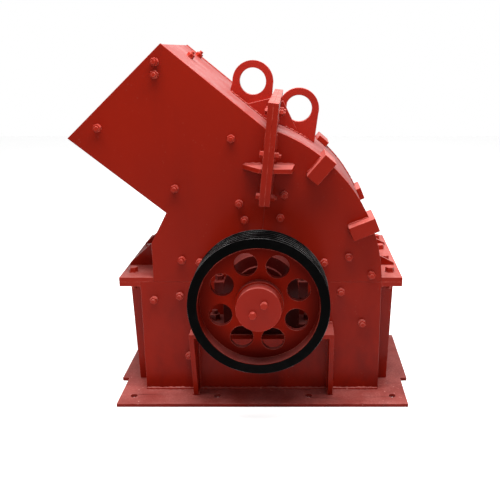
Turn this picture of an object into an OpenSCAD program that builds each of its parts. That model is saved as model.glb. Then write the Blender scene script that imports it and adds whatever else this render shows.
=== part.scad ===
/* [Base] */
// Thickness of the base strips
base_thick = 12; // [8:1:20]
// How far the long base strips run on past the lower casing
base_over = 82; // [60:1:140]
// How far a long strip stands out in front of the side plate
base_reach = 107; // [85:1:150]
// How far a long strip runs in behind the side plate's inner face
base_inner = 14; // [5:1:40]
// How far the end strips stand out past the long strips
base_end_reach = 23; // [0:1:50]
// Distance from the side plate back to where an end strip widens
base_end_notch = 80; // [20:1:150]
// Diameter of an anchor bolt hole
anchor_d = 22; // [16:1:30]
// Distance of the anchor hole centres from the side plate
anchor_reach = 51; // [30:1:70]
// Distance of the outer anchor holes from the ends of a strip
anchor_end = 45; // [30:1:80]
// Distance between the inner pair of anchor holes along a strip
anchor_inner = 300; // [200:1:380]

/* [Casing] */
// Width of the casing over its side plates
body_width = 540; // [480:1:620]
// Thickness of the side plates
side_plate = 12; // [8:1:16]
// Thickness of the end walls, chute plates and cover plate
shell_plate = 10; // [6:1:16]
// How far the side plates stand proud of the walls and the chute floor
plate_proud = 12; // [6:1:20]
// How far the chute top and the cover plate lie under the side plates' edge
shell_set = 3; // [1:1:12]
// Length of the lower casing
body_length = 776; // [760:1:800]
// Middle of the lower casing, measured from the shaft towards the cover
body_shift = -5; // [-12:1:4]
// Height of the shaft axis over the floor
shaft_height = 389; // [375:1:430]
// Radius of the hole in the casing round the shaft
shaft_hole_r = 66; // [60:1:80]

/* [Feed half] */
// How far the upper feed wall stands in from the lower casing's end
feed_wall_in = 43; // [28:1:63]
// Height of the upright part of the feed wall over the shaft axis
feed_wall_h = 128; // [100:1:160]
// How far the notch under the chute lies in from the feed wall
notch_in = 52; // [30:1:80]
// Height of the notch over the shaft axis
notch_z = 227; // [200:1:260]
// How far the chute's lower lip reaches out past the notch
chute_lip_out = 289; // [250:1:320]
// Height of the chute's lower lip over the shaft axis
chute_lip_z = 459; // [440:1:480]
// How far the chute's top corner lies in from the notch
chute_top_in = 8; // [0:1:30]
// Height of the chute's top corner over the shaft axis
chute_top_z = 737; // [710:1:760]

/* [Split flange] */
// Place of the split line at the height of the shaft axis
split_x = -15; // [-25:1:-5]
// Lean of the split line towards the cover, in degrees
split_lean = 5.9; // [3:0.1:8]
// How far the feed half's edge lies under the cover's edge at the split
split_step = 12; // [0:1:30]
// Thickness of each of the two split flanges
split_thick = 16; // [10:1:20]
// How far the split flanges stand out from the casing
split_reach = 98; // [70:1:120]
// Height of the flanges' lower ends over the shaft axis
split_low_z = 269; // [245:1:290]
// Height of the gussets' top face over the shaft axis
gusset_z = 381; // [350:1:400]
// Thickness of the split gussets
gusset_thick = 14; // [8:1:20]
// Length of the split gussets along the casing
gusset_length = 64; // [40:1:80]
// Length of the upright gusset on the chute top
chute_gusset = 84; // [50:1:110]
// How far its corner lies under the flange's upper end
chute_gusset_drop = 8; // [4:1:30]
// Length of the upright gusset on the cover
crown_gusset = 57; // [40:1:80]
// How far its corner lies under the flange's upper end
crown_gusset_drop = 18; // [4:1:30]

/* [Cover half] */
// Radius of the side plates' round edge over the cover
cover_radius = 513; // [505:1:520]
// Length of the bar ends on the cover's side plates
block_length = 87; // [60:1:110]
// Width of the bar ends
block_width = 44; // [30:1:60]
// How far the bar ends stand out from the side plates
block_proud = 45; // [20:1:60]
// How far the bar ends reach past the cover's edge
block_over = 16; // [5:1:25]
// How far the bar ends run back over the cover from the side plates' faces
block_back = 85; // [40:1:120]
// Angle of the lower bar ends, up from the level
block_low_angle = 22.2; // [15:0.1:30]
// Angle between the split flange and the upper bar ends
block_top_angle = 19.9; // [15:0.1:25]

/* [End flanges] */
// Thickness of each end flange
flange_thick = 15; // [10:1:20]
// How far the end flanges stand out from the lower casing
flange_reach = 68; // [55:1:90]
// Thickness of the ribs and gussets on the end walls
rib_thick = 12; // [8:1:16]
// How far the lower ribs stand out under the flange
rib_reach = 50; // [35:1:60]
// How far the lower ribs stand out at the base
rib_foot = 38; // [20:1:50]
// Distance of the lower ribs behind the side plates
rib_inset = 80; // [40:1:120]
// Distance of the upper gussets behind the side plates
upper_gusset_inset = 138; // [110:1:180]
// Height of the gussets on the feed wall
feed_gusset_h = 128; // [90:1:140]
// Height of the gussets on the cover
cover_gusset_h = 54; // [40:1:120]

/* [Lifting eyes] */
// Outer radius of a lifting eye
eye_r = 68; // [55:1:80]
// Radius of the hole in a lifting eye
eye_hole_r = 44; // [30:1:48]
// Thickness of a lifting eye
eye_thick = 24; // [16:1:30]
// Distance of both eyes' centres from the split flanges' outer faces
feed_eye_off = 68; // [50:1:80]
cover_eye_off = 62; // [50:1:80]
// Height of the feed eye's centre over the side plates' edge
feed_eye_rise = 68; // [50:1:90]
// Height of the cover eye's centre over the side plates' edge
cover_eye_rise = 71; // [50:1:90]
// How far the feed eye's foot runs from its centre
feed_eye_foot = 76; // [60:1:90]
// How far the cover eye's foot runs from its centre
cover_eye_foot = 52; // [30:1:60]

/* [Bearing pedestals] */
// Half length of the bearing shelf
shelf_half = 228; // [210:1:250]
// Depth of the shelf's top under the shaft axis
shelf_drop = 141; // [130:1:160]
// Thickness of the shelf
shelf_thick = 14; // [10:1:20]
// How far the shelf stands out from the side plate
shelf_reach = 102; // [96:1:120]
// Thickness of the ribs under the shelf
shelf_rib = 15; // [10:1:20]
// How far those ribs stand out at the base
shelf_rib_foot = 48; // [30:1:60]
// Radius of the round bearing housing
housing_r = 118; // [105:1:120]
// Width of the bearing housing along the shaft
housing_width = 84; // [70:1:90]
// Gap between the side plate and the bearing housing
housing_gap = 10; // [6:1:14]
// Half length of the housing's foot
housing_foot = 178; // [165:1:200]
// Thickness of the housing's foot
housing_foot_thick = 34; // [25:1:40]
// Radius of the seal covers on the housing's faces
seal_r = 84; // [70:1:100]
// Thickness of the outer seal cover
seal_thick = 12; // [6:1:20]
// How far the cap's bolt ears reach out from the shaft axis
ear_x = 146; // [130:1:160]
// Width of a bolt ear along the shaft
ear_width = 52; // [40:1:70]
// Height of each half of a bolt ear
ear_h = 26; // [18:1:34]

/* [Rotor] */
// Radius of the shaft in its bearings
shaft_r = 50; // [40:1:55]
// Radius of the shaft inside the casing
rotor_shaft_r = 58; // [56:1:64]
// Radius of the shaft in the pulley and the flywheel
shaft_end_r = 42; // [35:1:45]
// Radius of the rotor discs
disc_r = 205; // [190:1:220]
// Thickness of the rotor discs
disc_thick = 18; // [12:1:24]
// Number of rotor discs
disc_count = 5; // [3:1:6]
// Radial thickness of the spacers between the discs
spacer_wall = 30; // [15:1:40]
// Radius of the circle of hammer pins
pin_circle_r = 168; // [150:1:175]
// Radius of a hammer pin
pin_r = 16; // [12:1:20]
// How far the pins stand out of the outer discs
pin_over = 8; // [4:1:12]
// How far the shaft's thick part stands out of the outer discs
collar = 12; // [6:1:18]
// Width of a hammer
hammer_width = 72; // [60:1:90]
// Thickness of a hammer
hammer_thick = 44; // [30:1:56]

/* [Pulley and flywheel] */
// Radius of both wheels
wheel_r = 208; // [190:1:225]
// Width of both rims
wheel_width = 102; // [95:1:120]
// Distance of the rims from the side plates
wheel_reach = 134; // [130:1:160]
// Radial thickness of the rims at their faces
wheel_rim = 30; // [26:1:40]
// Depth of the web behind the rim's outer face
web_depth = 47; // [35:1:55]
// Thickness of the web
web_thick = 18; // [12:1:24]
// Radius of the hub
hub_r = 66; // [58:1:75]
// How far the hub's step by the web stands out round it
hub_ledge = 5; // [2:1:10]
// How far that step stands out from the web
hub_step = 24; // [10:1:35]
// How far the hub stands out past the rim
hub_over = 8; // [0:1:15]
// Radius of the holes in the web
web_hole_r = 35; // [25:1:38]
// Radius of the circle of holes in the web
web_hole_circle = 122.5; // [110:0.5:130]
// Number of holes in the web
web_holes = 8; // [4:1:8]
// Angle of the first hole
web_hole_angle = 18.5; // [0:0.5:45]
// Number of belt grooves
groove_count = 5; // [3:1:5]
// Distance between belt grooves
groove_pitch = 19; // [17:0.5:20]
// Width of a belt groove at the rim
groove_top = 16.3; // [13:0.1:16.5]
// Depth of a belt groove
groove_depth = 14; // [8:0.5:16]
// Thickness of the end disc on the pulley
end_disc_thick = 10; // [6:1:14]

/* [Liners and grate] */
// Thickness of the side liners
liner = 20; // [10:1:24]
// Height of the side liners' lower edge over the floor
liner_low = 60; // [30:1:90]
// How far the liners stay behind the chute's mouth
liner_back = 50; // [20:1:80]
// Thickness of the breaker liner in the cover
breaker = 30; // [20:1:34]
// Angle of the breaker liner's lower end, up from the level
breaker_low = 8; // [2:1:20]
// Depth of a grate bar
grate_bar = 30; // [20:1:34]
// Width of a grate bar
grate_bar_w = 14; // [8:1:20]
// Number of grate bars
grate_bars = 20; // [12:1:22]
// Thickness of the grate's end arcs
grate_arc = 14; // [10:1:20]
// Depth of the end arcs
grate_arc_w = 46; // [36:1:50]
// Angle of the first and the last bar under the level
grate_start = 10; // [4:1:20]

/* [Clearances] */
// Running clearance of the shaft in the bearing, on the radius
bearing_fit = 0.05; // [0.02:0.01:0.1]
// Clearance of a pin in its holes
pin_fit = 0.3; // [0.2:0.1:0.5]
// Gap between a liner and the plates round its edge
liner_gap = 2; // [1:0.5:5]
// Gap between two neighbouring liners
liner_joint = 1; // [0.5:0.5:4]
// Gap between the rotor's outer discs and the side liners
rotor_gap = 23; // [16:1:40]
// Gap between the grate's end arcs and the lower wall under the cover
grate_gap = 4; // [1:1:10]
// Gap between the circle of the hammer tips and the grate bars
tip_gap = 16; // [10:1:30]

/* [Hidden] */
$fn = 96;
half_w = body_width / 2;
inner_w = half_w - side_plate;
liner_w = inner_w - liner;
rotor_width = 2 * (liner_w - rotor_gap);
base_length = body_length + 2 * base_over;
anchor_outer = base_length - 2 * anchor_end;
shelf_z = shaft_height - shelf_drop;
feed_x = body_shift - body_length / 2;
cover_x = body_shift + body_length / 2;
feed_wall_x = -feed_x - feed_wall_in;
notch_x = feed_wall_x - notch_in;
chute_lip_x = notch_x + chute_lip_out;
chute_top_x = notch_x - chute_top_in;
grate_r = cover_x - plate_proud - shell_plate - grate_gap - grate_arc_w;
hammer_tip_r = grate_r - tip_gap;
cover_cx = cover_x - cover_radius;
crown_r = cover_radius - shell_set;
crown_inner_r = crown_r - shell_plate;
shelf_y = half_w + shelf_reach;
wheel_y = half_w + wheel_reach;
wheel_face = wheel_y + wheel_width;
hub_face = wheel_face + hub_over;
housing_y = half_w + housing_gap;
eps = 0.01;
far = 2000;
red = [0.58, 0.15, 0.12];
black = [0.12, 0.12, 0.12];
steel = [0.5, 0.5, 0.48];

// Crossing point of the line through a and b with the line through c and d
function meet(a, b, c, d) =
    let (r = b - a, s = d - c, q = c - a)
    a + r * ((q.x * s.y - q.y * s.x) / (r.x * s.y - r.y * s.x));
// Point on the split line at height z over the shaft axis
function split_at(z) = [split_x + z * tan(split_lean), z];
// Line a to b moved to its right by d
function aside(a, b, d) =
    let (u = (b - a) / norm(b - a), n = [u.y, -u.x] * d) [a + n, b + n];
// Crossing of two lines that are each given by two points
function cross_of(m, n) = meet(m[0], m[1], n[0], n[1]);
// Point on the cover's arc, at radius r and an angle up from the level
function arc_at(r, a) = [cover_cx + r * cos(a), r * sin(a)];
// Angle at which an arc of radius r lies at a distance d past the split line
function split_angle(r, d = 0) =
    acos((d - (cover_cx - split_x) * cos(split_lean)) / r) - split_lean;
// Level line at height z over the shaft axis
function level(z) = [[0, z], [1, z]];

// Angles of the bar ends, up from the level
block_angles = [block_low_angle, split_angle(cover_radius, split_thick) - block_top_angle];
// Height of the feed half's edge at the split over the shaft axis
split_top_z = cover_radius * sin(split_angle(cover_radius)) - split_step;

// Corners of the feed half's side plate, seen from the pulley side
wall_foot = [-feed_wall_x, 0];
wall_top = [-feed_wall_x, feed_wall_h];
notch = [-notch_x, notch_z];
lip = [-chute_lip_x, chute_lip_z];
chute_head = [-chute_top_x, chute_top_z];
split_top = split_at(split_top_z);
split_foot = split_at(0);
split_line = [split_foot, split_top];
mouth_line = [lip, chute_head];
feed_outline = [wall_foot, wall_top, notch, lip, chute_head, split_top, split_foot];

// Outer faces of the two split flanges
feed_face = aside(split_foot, split_top, -split_thick);
cover_face = aside(split_foot, split_top, split_thick);

// Extrudes a shape drawn in X and Z between two places along Y
module along_y(y0, y1) {
    translate([0, y1, 0]) rotate([90, 0, 0]) linear_extrude(y1 - y0) children();
}
// The same, with heights measured from the shaft axis
module from_axis(y0, y1) {
    translate([0, 0, shaft_height]) along_y(y0, y1) children();
}
// Both sides, mirrored across the middle of the casing
module both_sides() {
    children();
    mirror([0, 1, 0]) children();
}
// Round bar along Y at the shaft axis
module axis_bar(r, y0, y1) {
    translate([0, y1, shaft_height]) rotate([90, 0, 0]) cylinder(r = r, h = y1 - y0);
}
// Half of a thing, above or below the level of the shaft axis
module over_axis() {
    translate([-far / 2, -far / 2, shaft_height]) cube([far, far, far]);
}
module under_axis() {
    translate([-far / 2, -far / 2, shaft_height - far]) cube([far, far, far]);
}
// Everything on the cover's side of the split line
module cover_zone() {
    from_axis(-far / 2, far / 2)
        polygon([split_foot, split_at(far), [far, far], [far, 0]]);
}

// Base

module base_strip() {
    difference() {
        translate([-base_length / 2, -half_w - base_reach, 0])
            cube([base_length, base_reach + side_plate + base_inner, base_thick]);
        for (s = [-1, 1], d = [anchor_outer, anchor_inner])
            translate([s * d / 2, -half_w - anchor_reach, -1])
                cylinder(d = anchor_d, h = base_thick + 2);
    }
}
module base_strip_front() { color(red) base_strip(); }
module base_strip_back() { color(red) mirror([0, 1, 0]) base_strip(); }

module base_end_strips() {
    wide = half_w - base_end_notch;
    long = inner_w - base_inner;
    reach = base_length / 2 + base_end_reach;
    color(red) {
        linear_extrude(base_thick) polygon([
            [-reach, -wide], [-base_length / 2, -wide], [-base_length / 2, -long],
            [feed_x + plate_proud + shell_plate, -long],
            [feed_x + plate_proud + shell_plate, long],
            [-base_length / 2, long], [-base_length / 2, wide], [-reach, wide]]);
        linear_extrude(base_thick) polygon([
            [reach, -wide], [base_length / 2, -wide], [base_length / 2, -long],
            [cover_x - plate_proud - shell_plate, -long],
            [cover_x - plate_proud - shell_plate, long],
            [base_length / 2, long], [base_length / 2, wide], [reach, wide]]);
    }
}

// Lower casing

module lower_side() {
    difference() {
        translate([feed_x, -half_w, base_thick])
            cube([body_length, side_plate, shaft_height - base_thick]);
        axis_bar(shaft_hole_r, -half_w - 1, -inner_w + 1);
    }
}
module lower_side_front() { color(red) lower_side(); }
module lower_side_back() { color(red) mirror([0, 1, 0]) lower_side(); }

module lower_wall(x) {
    translate([x, -inner_w, base_thick])
        cube([shell_plate, 2 * inner_w, shaft_height - base_thick]);
}
module lower_wall_feed() { color(red) lower_wall(feed_x + plate_proud); }
module lower_wall_cover() {
    color(red) lower_wall(cover_x - plate_proud - shell_plate);
}

module lower_rib(x, s) {
    top = shaft_height - flange_thick;
    y = -half_w + rib_inset;
    along_y(y, y + rib_thick) polygon([
        [x - s * plate_proud, base_thick], [x + s * rib_foot, base_thick],
        [x + s * rib_reach, top], [x - s * plate_proud, top]]);
}
module lower_ribs() {
    color(red) both_sides() {
        lower_rib(feed_x, -1);
        lower_rib(cover_x, 1);
    }
}

// An end flange from x0, where it clears the side plates, out by its reach
module end_flange(s, edge, tip, z) {
    translate([0, 0, z]) linear_extrude(flange_thick) polygon([
        [tip, -half_w], [edge, -half_w], [edge, -inner_w],
        [edge - s * plate_proud, -inner_w], [edge - s * plate_proud, inner_w],
        [edge, inner_w], [edge, half_w], [tip, half_w]]);
}
module lower_flange_feed() {
    color(red) end_flange(-1, feed_x, feed_x - flange_reach, shaft_height - flange_thick);
}
module lower_flange_cover() {
    color(red) end_flange(1, cover_x, cover_x + flange_reach, shaft_height - flange_thick);
}
module upper_flange_feed() {
    color(red) end_flange(-1, -feed_wall_x, feed_x - flange_reach, shaft_height);
}
module upper_flange_cover() {
    color(red) difference() {
        end_flange(1, cover_x, cover_x + flange_reach, shaft_height);
        from_axis(-far / 2, far / 2) translate([cover_cx, 0]) circle(r = crown_r, $fn = 240);
    }
}

// Feed half

module feed_side() {
    difference() {
        from_axis(-half_w, -inner_w) polygon(feed_outline);
        axis_bar(shaft_hole_r, -half_w - 1, -inner_w + 1);
    }
}
module feed_side_front() { color(red) feed_side(); }
module feed_side_back() { color(red) mirror([0, 1, 0]) feed_side(); }

// Lines of the shell plates, each set in from the side plates' edge by d
function wall_line(d) = aside(wall_foot, wall_top, d);
function slope_line(d) = aside(wall_top, notch, d);
function floor_line(d) = aside(notch, lip, d);
function top_line(d) = aside(chute_head, split_top, d);
out = plate_proud;
in = plate_proud + shell_plate;
top_in = shell_set + shell_plate;

module feed_wall() {
    color(red) from_axis(-inner_w, inner_w) polygon([
        [wall_line(out)[0].x, 0], cross_of(wall_line(out), slope_line(out)),
        cross_of(slope_line(out), floor_line(out)),
        cross_of(slope_line(in), floor_line(out)),
        cross_of(wall_line(in), slope_line(in)), [wall_line(in)[0].x, 0]]);
}
module chute_floor() {
    color(red) from_axis(-inner_w, inner_w) polygon([
        cross_of(slope_line(in), floor_line(out)),
        cross_of(mouth_line, floor_line(out)),
        cross_of(mouth_line, floor_line(in)),
        cross_of(slope_line(in), floor_line(in))]);
}
module chute_top() {
    color(red) from_axis(-inner_w, inner_w) polygon([
        cross_of(mouth_line, top_line(shell_set)), cross_of(split_line, top_line(shell_set)),
        cross_of(split_line, top_line(top_in)), cross_of(mouth_line, top_line(top_in))]);
}

// Gusset that stands on an end flange against a wall
module end_gusset(points) {
    y = -half_w + upper_gusset_inset;
    from_axis(y, y + rib_thick) polygon(points);
}
module upper_gussets() {
    tip = feed_x - flange_reach + 6;
    nose = cover_x + flange_reach - 10;
    color(red) both_sides() {
        end_gusset([[tip, flange_thick], [wall_line(out)[0].x, flange_thick],
            [wall_line(out)[0].x, feed_gusset_h], [tip, flange_thick + 8]]);
        difference() {
            end_gusset([[cover_x - 2 * in, flange_thick], [nose, flange_thick],
                [nose, flange_thick + 8], [cover_x - shell_set, cover_gusset_h],
                [cover_x - 2 * in, cover_gusset_h]]);
            from_axis(-far / 2, far / 2) translate([cover_cx, 0])
                circle(r = crown_r, $fn = 240);
        }
    }
}

// Cover half

module cover_disc(r, y0, y1) {
    from_axis(y0, y1) translate([cover_cx, 0]) circle(r = r, $fn = 240);
}
module cover_side() {
    difference() {
        intersection() {
            cover_disc(cover_radius, -half_w, -inner_w);
            cover_zone();
        }
        axis_bar(shaft_hole_r, -half_w - 1, -inner_w + 1);
    }
}
module cover_side_front() { color(red) cover_side(); }
module cover_side_back() { color(red) mirror([0, 1, 0]) cover_side(); }
module cover_plate() {
    color(red) intersection() {
        difference() {
            cover_disc(crown_r, -inner_w, inner_w);
            cover_disc(crown_inner_r, -inner_w - 1, inner_w + 1);
        }
        cover_zone();
    }
}

// Bar end across the side plate, square to the cover's edge and hooked over it
module bar_end(angle) {
    difference() {
        translate([cover_cx, -half_w, shaft_height]) rotate([0, -angle, 0]) {
            translate([cover_radius + block_over - block_length, -block_proud, -block_width / 2])
                cube([block_length, block_proud, block_width]);
            translate([crown_inner_r, 0, -block_width / 2])
                cube([top_in + block_over, block_back, block_width]);
        }
        cover_disc(cover_radius, -half_w, -inner_w);
        cover_disc(crown_r, -inner_w - eps, inner_w);
    }
}
module bar_ends_front() { color(red) for (a = block_angles) bar_end(a); }
module bar_ends_back() {
    color(red) mirror([0, 1, 0]) for (a = block_angles) bar_end(a);
}

// Split flanges

// Slab that lies on the split line, from x0 to x1 off it
module split_slab(x0, x1, y) {
    translate([split_x, 0, shaft_height]) rotate([0, split_lean, 0])
        translate([x0, -y, split_low_z / cos(split_lean)])
            cube([x1 - x0, 2 * y, (split_top_z + split_reach - split_low_z) / cos(split_lean)]);
}
module feed_body() {
    from_axis(-half_w, half_w) polygon(feed_outline);
}
module feed_gap() {
    from_axis(-inner_w, inner_w) polygon([
        cross_of(mouth_line, top_line(shell_set)), cross_of(split_line, top_line(shell_set)),
        split_at(far), chute_head + [0, far]]);
}
module split_flange_feed() {
    color(red) difference() {
        split_slab(-split_thick, 0, half_w + split_reach);
        difference() {
            feed_body();
            feed_gap();
        }
    }
}
module split_flange_cover() {
    color(red) difference() {
        split_slab(0, split_thick, half_w + split_reach);
        cover_disc(cover_radius, -half_w, -inner_w);
        cover_disc(cover_radius, inner_w, half_w);
        cover_disc(crown_r, -inner_w - eps, inner_w + eps);
    }
}

// Flat gussets between the side plates and the split flanges
module split_gusset_feed() {
    x = split_at(gusset_z - gusset_thick).x - split_thick / cos(split_lean);
    translate([0, 0, shaft_height + gusset_z - gusset_thick]) linear_extrude(gusset_thick)
        polygon([[x - gusset_length, -half_w], [x, -half_w],
            [x, -half_w - split_reach + 6], [x - 8, -half_w - split_reach + 6]]);
}
module split_gussets_feed() { color(red) both_sides() split_gusset_feed(); }
module split_gusset_cover() {
    x = split_at(gusset_z - gusset_thick).x + split_thick / cos(split_lean)
        + gusset_thick * tan(split_lean);
    reach = split_reach - 2;
    translate([0, 0, shaft_height + gusset_z - gusset_thick]) linear_extrude(gusset_thick)
        polygon([[x, -half_w], [x, -half_w - reach],
            [x + gusset_length - 8, -half_w - reach], [x + gusset_length, -half_w]]);
}
module split_gussets_cover() { color(red) both_sides() split_gusset_cover(); }

// Upright gussets on the chute top and the cover, against the front of the lifting eyes
module top_gussets() {
    y = -eye_thick / 2;
    flange_top = split_top_z + split_reach;
    feed_top = cross_of(feed_face, level(flange_top - chute_gusset_drop));
    crown_top = cross_of(cover_face, level(flange_top - crown_gusset_drop));
    crown_foot = on_cover(crown_top.x + crown_gusset);
    color(red) {
        from_axis(y - gusset_thick, y) polygon([feed_top,
            cross_of(chute_skin, [feed_top - [chute_gusset, 0], feed_top - [chute_gusset, 1]]),
            cross_of(feed_face, chute_skin)]);
        difference() {
            from_axis(y - gusset_thick, y) polygon([crown_top,
                arc_at(crown_r, split_angle(crown_r, split_thick)),
                crown_foot, crown_foot + [-6, 16], crown_top + [8, 0]]);
            cover_disc(crown_r, y - gusset_thick - 1, y + 1);
        }
    }
}

// Lifting eyes

// Outer face of the chute top
chute_skin = top_line(shell_set);
// Point on the cover plate's outer face at a distance x from the shaft axis
function on_cover(x) = [x, sqrt(crown_r * crown_r - (x - cover_cx) * (x - cover_cx))];
// Centres of the holes, each set off from a flange's face and from the side plates' edge
feed_eye = cross_of(aside(split_foot, split_top, -split_thick - feed_eye_off),
    top_line(-feed_eye_rise));
cover_eye = arc_at(cover_radius + cover_eye_rise,
    split_angle(cover_radius + cover_eye_rise, split_thick + cover_eye_off));

module eye_plate(centre, foot) {
    difference() {
        union() {
            from_axis(-eye_thick / 2, eye_thick / 2) translate(centre) circle(r = eye_r);
            from_axis(-eye_thick / 2, eye_thick / 2) polygon(foot);
        }
        from_axis(-half_w, half_w) translate(centre) circle(r = eye_hole_r);
    }
}
module lifting_eye_feed() {
    edge = feed_eye - [feed_eye_foot, 0];
    color(red) difference() {
        eye_plate(feed_eye, [feed_eye - [eye_r, 0],
            cross_of(chute_skin, [edge, edge - [0, 1]]), cross_of(chute_skin, feed_face),
            cross_of(feed_face, level(feed_eye.y))]);
        from_axis(-eye_thick, eye_thick) polygon([feed_face[0],
            cross_of(feed_face, level(far)), [far, far], [far, 0]]);
    }
}
module lifting_eye_cover() {
    flank = cover_eye + [eye_r, 0];
    toe = on_cover(cover_eye.x + cover_eye_foot);
    color(red) difference() {
        eye_plate(cover_eye, [flank, flank + (toe - flank) * 1.3,
            arc_at(crown_r - shell_plate, split_angle(crown_r)),
            cross_of(split_line, level(cover_eye.y))]);
        cover_disc(crown_r, -eye_thick, eye_thick);
        from_axis(-eye_thick, eye_thick) polygon([cover_face[0],
            cross_of(cover_face, level(far)), [-far, far], [-far, 0]]);
    }
}

// Bearing pedestals

module pedestal() {
    rib_top = shelf_z - shelf_thick;
    translate([-shelf_half, -shelf_y, rib_top])
        cube([2 * shelf_half, shelf_reach, shelf_thick]);
    for (s = [-1, 1])
        translate([s * (shelf_half - shelf_rib / 2) - shelf_rib / 2, 0, 0])
            rotate([90, 0, 90]) linear_extrude(shelf_rib) polygon([
                [-half_w, base_thick], [-half_w - shelf_rib_foot, base_thick],
                [-shelf_y, rib_top], [-shelf_y, shelf_z], [-half_w, shelf_z]]);
}
module pedestal_front() { color(red) pedestal(); }
module pedestal_back() { color(red) mirror([0, 1, 0]) pedestal(); }

module bearing() {
    y1 = -housing_y;
    y0 = y1 - housing_width;
    mid = (y0 + y1) / 2;
    difference() {
        union() {
            axis_bar(housing_r, y0, y1);
            axis_bar(seal_r, y0 - seal_thick, y1);
            translate([-housing_foot, y0, shelf_z])
                cube([2 * housing_foot, housing_width, housing_foot_thick]);
            translate([-housing_r, y0, shelf_z])
                cube([2 * housing_r, housing_width, shaft_height - shelf_z]);
            translate([-ear_x, mid - ear_width / 2, shaft_height - ear_h])
                cube([2 * ear_x, ear_width, 2 * ear_h]);
        }
        axis_bar(shaft_r + bearing_fit, y0 - seal_thick - 1, y1 + 1);
    }
}
module bearing_front() { color(red) bearing(); }
module bearing_back() { color(red) mirror([0, 1, 0]) bearing(); }

// Rotor

// Shaft shoulder that the pulley and the flywheel seat against
seat_y = wheel_y + wheel_width / 2 - web_thick;
module rotor_shaft() {
    color(steel) {
        axis_bar(rotor_shaft_r, -rotor_width / 2 - collar, rotor_width / 2 + collar);
        axis_bar(shaft_r, -wheel_y - 4, wheel_y + 4);
        axis_bar(shaft_end_r, -hub_face, hub_face);
    }
}

// Wheel on the front shaft end, with a rim profile as its child
module wheel() {
    web_y = wheel_face - web_depth;
    translate([0, 0, shaft_height]) rotate([90, 0, 0]) difference() {
        rotate_extrude($fn = 180) {
            polygon([[shaft_end_r, wheel_y + 4], [hub_r, wheel_y + 4],
                [hub_r, web_y - web_thick], [wheel_r - wheel_rim, web_y - web_thick],
                [wheel_r - wheel_rim, web_y], [hub_r + hub_ledge, web_y],
                [hub_r + hub_ledge, web_y + hub_step], [hub_r, web_y + hub_step],
                [hub_r, hub_face], [shaft_end_r, hub_face]]);
            children();
        }
        for (i = [0:web_holes - 1])
            rotate([0, 0, web_hole_angle + i * 360 / web_holes])
                translate([web_hole_circle, 0, wheel_y])
                    cylinder(r = web_hole_r, h = wheel_width);
    }
}
groove_foot = groove_top - 2 * groove_depth * tan(19);
first_groove = wheel_y + (wheel_width - (groove_count - 1) * groove_pitch) / 2;
module drive_pulley() {
    color(black) wheel()
        polygon(concat(
            [[wheel_r - wheel_rim, wheel_y], [wheel_r, wheel_y]],
            [for (i = [0:groove_count - 1], p = [
                [wheel_r, -groove_top / 2], [wheel_r - groove_depth, -groove_foot / 2],
                [wheel_r - groove_depth, groove_foot / 2], [wheel_r, groove_top / 2]])
                [p.x, first_groove + i * groove_pitch + p.y]],
            [[wheel_r, wheel_face], [wheel_r - wheel_rim, wheel_face]]));
}
module flywheel() {
    color(black) mirror([0, 1, 0]) wheel()
        polygon([[wheel_r - wheel_rim, wheel_y], [wheel_r, wheel_y],
            [wheel_r, wheel_face], [wheel_r - wheel_rim, wheel_face]]);
}
module pulley_end_disc() {
    color(steel) axis_bar(hub_r, -hub_face - end_disc_thick, -hub_face);
}

disc_pitch = (rotor_width - disc_thick) / (disc_count - 1);
// Front face of each disc along the shaft
function disc_y(i) = -rotor_width / 2 + i * disc_pitch;
module rotor_discs() {
    color(steel) difference() {
        for (i = [0:disc_count - 1]) axis_bar(disc_r, disc_y(i), disc_y(i) + disc_thick);
        axis_bar(rotor_shaft_r, -rotor_width / 2 - 1, rotor_width / 2 + 1);
        for (a = [45:90:315]) pin_at(a, pin_r + pin_fit, rotor_width / 2 + 1);
    }
}
module rotor_spacers() {
    color(steel) difference() {
        for (i = [1:disc_count - 1])
            axis_bar(rotor_shaft_r + spacer_wall, disc_y(i - 1) + disc_thick, disc_y(i));
        axis_bar(rotor_shaft_r, -rotor_width / 2, rotor_width / 2);
    }
}
// Bar of half length l on the circle of pins
module pin_at(a, r, l) {
    translate([0, 0, shaft_height]) rotate([0, -a, 0]) translate([pin_circle_r, l, 0])
        rotate([90, 0, 0]) cylinder(r = r, h = 2 * l, $fn = 48);
}
module hammer_pins() {
    color(steel) for (a = [45:90:315]) pin_at(a, pin_r, rotor_width / 2 + pin_over);
}
// Hammer seen along the shaft: round about its pin, with a flat striking end
module hammer_shape() {
    w = hammer_width / 2;
    tip = sqrt(hammer_tip_r * hammer_tip_r - w * w);
    translate([pin_circle_r, 0]) circle(r = w);
    translate([pin_circle_r, -w]) square([tip - pin_circle_r, hammer_width]);
}
module hammers() {
    slack = (disc_pitch - disc_thick - hammer_thick) / 2;
    color(steel) for (a = [45:90:315]) difference() {
        for (i = [1:disc_count - 1])
            from_axis(disc_y(i) - slack - hammer_thick, disc_y(i) - slack)
                rotate(a) hammer_shape();
        pin_at(a, pin_r + pin_fit, rotor_width / 2);
    }
}

// Liners and grate

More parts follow.
